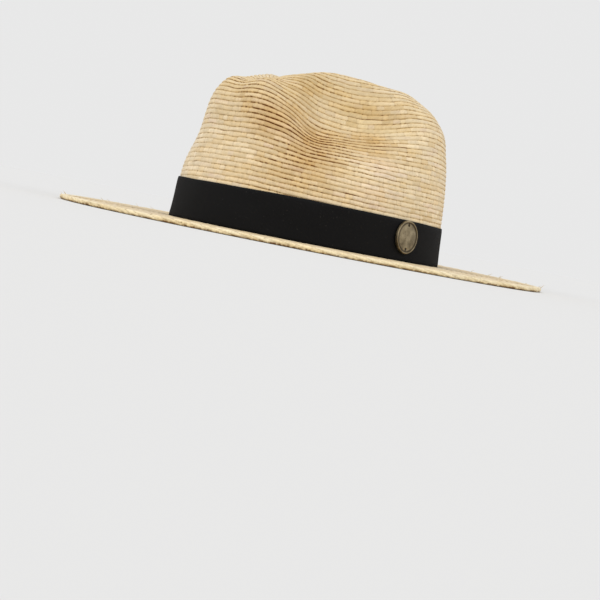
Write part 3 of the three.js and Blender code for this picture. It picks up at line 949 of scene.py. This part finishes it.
def straw_material(name, palette, line_dark=0.62, flecks=0.12, end_reach=0.0, brim=False):
    """Palm braid: rows with a darker line under each, which is partly painted shade in the groove
    under the row's lapping edge and partly the straw's own brown, strands of different tones, fine
    fibres along them, and dark spots where two strands meet. The tone's blue is a dark stroke along
    the line, but on the brim it tells the underside, where the strands' slant shows, with painted
    shade in the grooves between the strands."""
    s = Shader(name)
    uv, along, up = s.braid_place()
    share = s.math("FRACT", up)
    tone = s.node("ShaderNodeAttribute", attribute_name="tone")
    stain_and_shade = s.node("ShaderNodeAttribute", attribute_name="stain_and_shade")
    channels = s.node("ShaderNodeSeparateColor", {0: tone.outputs["Color"]})
    shade, light, mark = channels.outputs[:3]
    end = s.times(tone.outputs["Alpha"], TONE_REACH)

    # Fibres run along the row, and slow clouds change its colour.
    fibres = s.noise(s.scaled(uv, FIBRE_SCALE), 3.0, 0.6)
    clouds = s.noise(s.scaled(uv, CLOUD_SCALE), 2.0)
    blotches = s.noise(s.scaled(uv, BLOTCH_SCALE), 2.0)
    where = s.math("ADD", s.times(shade, 0.45), s.times(clouds, 0.55))
    colour = s.colours(where, palette)
    bright = s.times(s.spread(light, 0.14, 0.93), s.spread(fibres, 0.34, 0.83),
                     s.spread(blotches, 0.4, 0.8))
    colour = s.mix(1.0, colour, bright, "MULTIPLY")
    # The crown's patches: stains, and painted light and shade.
    colour = s.mix(1.0, colour, stain_and_shade.outputs["Color"], "MULTIPLY")
    off_middle = s.off_half(share)

    # The line under a row, thin and broken, and wider where a dark stroke follows it: painted shade
    # in the groove under the lapping edge of the row above, partly the straw's own brown.
    uneven = s.noise(s.along_row(along, 0.42, s.math("ROUND", up), 7.3), 3.0)
    uneven = s.ramp(uneven, 0.38, 0.58)
    region = s.noise(s.scaled(uv, REGION_SCALE), 2.0)
    region = s.spread(s.ramp(region, 0.35, 0.65), 0.6, 0.75)
    each = s.spread(light, 0.5, 0.75)
    low = s.ramp(share, 0.12, 0.0)
    high = s.ramp(share, 0.83, 0.99)
    strength = s.times(stain_and_shade.outputs["Alpha"], s.times(region, each))
    deep = s.ramp(strength, 0.9, 1.7)
    wide = s.times(s.ramp(off_middle, 0.26, 0.45), s.times(deep, 0.7))
    near_line = s.larger(s.larger(low, high), wide)
    dark = s.times(near_line, s.spread(uneven, 0.85, 0.2), strength)
    # Next to each line the straw is painted warmer and darker, as the colour of the shade in the
    # groove.
    groove_shade_yellow = s.times(s.ramp(off_middle, 0.16, 0.48), strength)
    colour = s.mix(s.times(groove_shade_yellow, 0.6, clamp=True), colour, YELLOW_GROOVE_SHADE, "MULTIPLY")
    colour = s.mix(s.times(dark, line_dark, clamp=True), colour, s.mix(deep, LINE, DARK_LINE))
    if brim:
        # Strands slant one way on the lower half of a row and the other way on its upper half.
        wobble = s.times(clouds, 3.0)
        slant = s.math("ADD", s.spread(off_middle, STRAND_SLANT, along), wobble)
        wave = s.humps(slant, STRAND_WIDE)
        # The grooves between the slanting strands are painted shade.
        groove = s.times(s.ramp(wave, 0.6, 0.1), s.spread(uneven, 0.65, 0.3))
        stroke = s.times(s.larger(groove, dark), mark)
        colour = s.mix(s.times(stroke, 0.85), colour, UNDERSIDE_LINE)
    else:
        stroke = s.times(s.ramp(off_middle, 0.26, 0.42), mark, s.spread(uneven, 0.4, 0.6))
        colour = s.mix(s.times(stroke, 0.9), colour, DARK_LINE)

    # Dark spots in the line where strands end, and faint creases across the row.
    at_end = s.ramp(end, 1.2, 0.2)
    chance = s.ramp(light, 0.25, 0.6)
    spot = s.times(at_end, s.larger(near_line, end_reach), chance)
    colour = s.mix(s.times(spot, 0.8), colour, DARK_LINE)
    pleat = s.noise(s.along_row(along, 0.55, s.math("FLOOR", up), 5.9), 1.0)
    pleat = s.ramp(s.off_half(pleat), 0.045, 0.0)
    crease = s.times(s.ramp(end, 0.7, 0.0), s.times(chance, 0.2))
    crease = s.larger(crease, s.times(pleat, 0.1))
    colour = s.mix(crease, colour, LINE)
    dash = s.noise(s.along_row(along, 0.4, s.math("ROUND", up), 11.7), 2.0)
    dash = s.ramp(dash, 0.58, 0.68)
    dash = s.times(dash, near_line, s.times(strength, 0.7), clamp=True)
    colour = s.mix(dash, colour, DARK_LINE)

    # Rare red-brown flecks.
    fleck = s.noise(s.scaled(uv, FLECK_SCALE), 1.0)
    fleck = s.times(s.ramp(fleck, 0.72, 0.8), flecks * 4)
    colour = s.mix(s.math("MINIMUM", fleck, 0.8), colour, FLECK)

    height = s.times(fibres, 0.35)
    height = s.math("SUBTRACT", height, s.times(stroke, 0.8))
    height = s.math("SUBTRACT", height, s.times(spot, 0.8))
    rough = s.spread(fibres, 0.22, 0.46)
    covered = s.larger(s.larger(dark, stroke), spot)
    shine = s.spread(covered, -0.3, 0.34, clamp=True)
    return s.surface(Base_Color=colour, Roughness=rough, Specular_IOR_Level=shine,
                     Normal=s.bump(height, 0.6, 0.00016))


RIB_WIDE = 0.75
SELVEDGE = (1.1, 0.2)  # where the selvedge starts and ends, from an edge
RIBBON_BLACK = srgb(18, 18, 19)
LINT = srgb(150, 146, 140)


def ribbon_material():
    """Black grosgrain: fine ribs across the ribbon, a woven selvedge and a little lint."""
    s = Shader("ribbon")
    uv, along, up = s.braid_place()
    ribs = s.humps(along, RIB_WIDE)
    yarn = s.noise(s.scaled(uv, (3.2, 5.0, 1.0)), 2.0)
    clouds = s.noise(s.scaled(uv, (0.03, 0.06, 1.0)), 2.0)
    lint = s.ramp(s.noise(s.scaled(uv, (1.6, 1.1, 1.0)), 0.0), 0.8, 0.86)
    edge = s.larger(s.ramp(up, *SELVEDGE),
                    s.ramp(up, BAND_HEIGHT - SELVEDGE[0], BAND_HEIGHT - SELVEDGE[1]))
    shade = s.times(s.spread(ribs, 0.35, 0.65), s.spread(clouds, 0.5, 0.75),
                    s.spread(yarn, 0.4, 0.8), s.spread(edge, 0.35, 1.0))
    colour = s.mix(1.0, RIBBON_BLACK, shade, "MULTIPLY")
    colour = s.mix(s.times(lint, 0.12), colour, LINT)
    height = s.math("ADD", ribs, s.times(yarn, 0.4))
    rough = s.spread(yarn, 0.12, 0.78)
    return s.surface(Base_Color=colour, Roughness=rough, Specular_IOR_Level=0.12,
                     Normal=s.bump(height, 0.55, 0.00014))


def badge_material(place):
    """Antiqued brass: worn and lighter on the domed face and the rim, dark in the recess."""
    s = Shader("badge_metal")
    where = s.node("ShaderNodeTexCoord").outputs["Object"]
    middle = place.to_translation() * MM
    out = place.to_3x3() @ Vector((0, 0, 1))
    from_middle = s.vector("SUBTRACT", where, tuple(middle))[0]
    height = s.vector("DOT_PRODUCT", from_middle, tuple(out))[1]
    length = s.vector("LENGTH", from_middle)[1]
    far = s.math("SQRT", s.math("SUBTRACT", s.times(length, length), s.times(height, height)))
    grain = s.noise(where, 3.0, scale=900.0)
    clouds = s.noise(where, 3.0, scale=190.0)
    scratches = s.noise(s.scaled(where, (1.0, 1.0, 9.0)), 2.0, scale=700.0)
    worn = s.colours(clouds, [(0.3, srgb(98, 87, 66)), (0.55, srgb(136, 123, 97)),
                              (0.75, srgb(162, 149, 122))])
    rim = BADGE_RADIUS * MM
    recess = s.times(s.ramp(far, rim - 0.0026, rim - 0.0014),
                    s.ramp(far, rim - 0.0007, rim - 0.001))
    dirt = s.larger(s.times(recess, 0.8), s.times(s.ramp(grain, 0.58, 0.72), 0.45))
    colour = s.mix(dirt, worn, srgb(48, 39, 30))
    rough = s.spread(scratches, 0.3, 0.26)
    rough = s.spread(dirt, 0.25, rough)
    relief = s.math("ADD", grain, s.times(scratches, 0.5))
    return s.surface(Base_Color=colour, Roughness=rough, Metallic=0.85,
                     Normal=s.bump(relief, 0.35, 0.00008))


def thread_material():
    s = Shader("thread")
    where = s.node("ShaderNodeTexCoord").outputs["Object"]
    twist = s.noise(where, 2.0, scale=2600.0)
    colour = s.mix(twist, srgb(14, 12, 11), srgb(46, 41, 37))
    return s.surface(Base_Color=colour, Roughness=0.85, Normal=s.bump(twist, 0.6, 0.0001))


# ---- Making the pieces ----


def dress(piece, material, slot, *nodes):
    piece.data.materials.clear()
    piece.data.materials.append(material)
    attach(piece, "root")
    if nodes:
        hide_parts(*nodes)


straw = straw_material("straw", PALM)
brim_straw = straw_material("brim_straw", PALM, flecks=0.2, brim=True)
# The edge's paler palette is partly painted light.
edge_straw = straw_material("edge_straw", PALE_AND_LIT_PALM, line_dark=0.6, flecks=0.05, end_reach=0.45)

dress(crown_piece("crown_side_braid", 11, 0, SIDE_ROWS, SIDE_LENGTHS), straw, "straw", "crown")
dress(crown_piece("crown_top_braid", 21, SIDE_ROWS, CROWN_ROWS, TOP_LENGTHS), straw, "straw",
      "crown")
dress(brim_piece(), brim_straw, "straw", "brim")
dress(edge_piece(), edge_straw, "edge_straw", "edge_braid")
band, band_length = band_piece()
dress(band, ribbon_material(), "ribbon", "hat_band")
badge_at = badge_place()
dress(badge_piece(badge_at), badge_material(badge_at), "badge_metal", "badge")
thread = thread_material()
for side, key in ((1, "upper"), (-1, "lower")):
    dress(thread_piece("stitch_" + key, side, badge_at), thread, "thread", "badge_thread_" + key)

# ---- Floor, light and camera ----

FLOOR_COLOUR = (0.717, 0.717, 0.717, 1)
WORLD_LIGHT = 0.81
CAMERA_AZIMUTH = 42
CAMERA_ELEVATION = 1.0
CAMERA_ROLL = 11.2
CAMERA_DISTANCE = 0.8065
FOCAL_PIXELS = 1176
SENSOR = 36.0
IMAGE = 600
HAT_AT = (305.2, 245.1)  # where the middle of the brim is in the picture, from its top left corner


def stage():
    """A wide pale floor under an even pale sky."""
    steps = 96
    wide = 30  # metres
    ring = [(wide * math.cos(2 * math.pi * k / steps), wide * math.sin(2 * math.pi * k / steps),
             -0.0002) for k in range(steps)]
    mesh = bpy.data.meshes.new("floor")
    mesh.from_pydata(ring, [], [tuple(range(steps))])
    thing = put("floor", mesh)
    paper = Shader("paper").surface(Base_Color=FLOOR_COLOUR, Roughness=0.9,
                                    Specular_IOR_Level=0.0)
    thing.data.materials.append(paper)


def camera():
    data = bpy.data.cameras.new("camera")
    data.sensor_width = SENSOR
    data.lens = SENSOR * FOCAL_PIXELS / IMAGE
    cam = put("camera", data)
    a, e = math.radians(CAMERA_AZIMUTH), math.radians(CAMERA_ELEVATION)
    back = Vector((math.sin(a) * math.cos(e), -math.cos(a) * math.cos(e), math.sin(e)))
    level = (-back).to_track_quat("-Z", "Y").to_matrix()
    turned = level @ Matrix.Rotation(math.radians(CAMERA_ROLL), 3, "Z")
    towards_hat = Vector(((HAT_AT[0] - IMAGE / 2) / FOCAL_PIXELS,
                          (IMAGE / 2 - HAT_AT[1]) / FOCAL_PIXELS, -1))
    aim = Vector((0, 0, -1)).rotation_difference(towards_hat).to_matrix()
    turned = turned @ aim.transposed()
    cam.matrix_world = Matrix.Translation(back * CAMERA_DISTANCE) @ turned.to_4x4()
    data.clip_start = 0.01
    data.clip_end = 50
    bpy.context.scene.camera = cam


def sun(name, place, wide, power, colour):
    """A soft light from a direction as the camera sees it: right, away from it, up."""
    data = bpy.data.lights.new(name, "SUN")
    data.angle = math.radians(wide)
    data.energy = power
    data.color = colour
    thing = put(name, data)
    spot = Matrix.Rotation(math.radians(CAMERA_AZIMUTH), 3, "Z") @ Vector(place)
    thing.location = spot
    thing.rotation_mode = "QUATERNION"
    thing.rotation_quaternion = spot.to_track_quat("Z", "Y")


stage()
camera()
sun("key", (-0.9, -0.9, 1.1), 50, 1.1, (1.0, 0.985, 0.96))
sun("fill", (1.3, -0.7, 0.7), 60, 0.7, (0.98, 0.99, 1.0))

world = bpy.data.worlds.new("studio")
world.use_nodes = True
sky = world.node_tree.nodes["Background"]
sky.inputs[0].default_value = (1.0, 1.0, 1.0, 1.0)
sky.inputs[1].default_value = WORLD_LIGHT
bpy.context.scene.world = world
bpy.context.scene.view_settings.view_transform = "Standard"
bpy.context.scene.view_settings.look = "None"
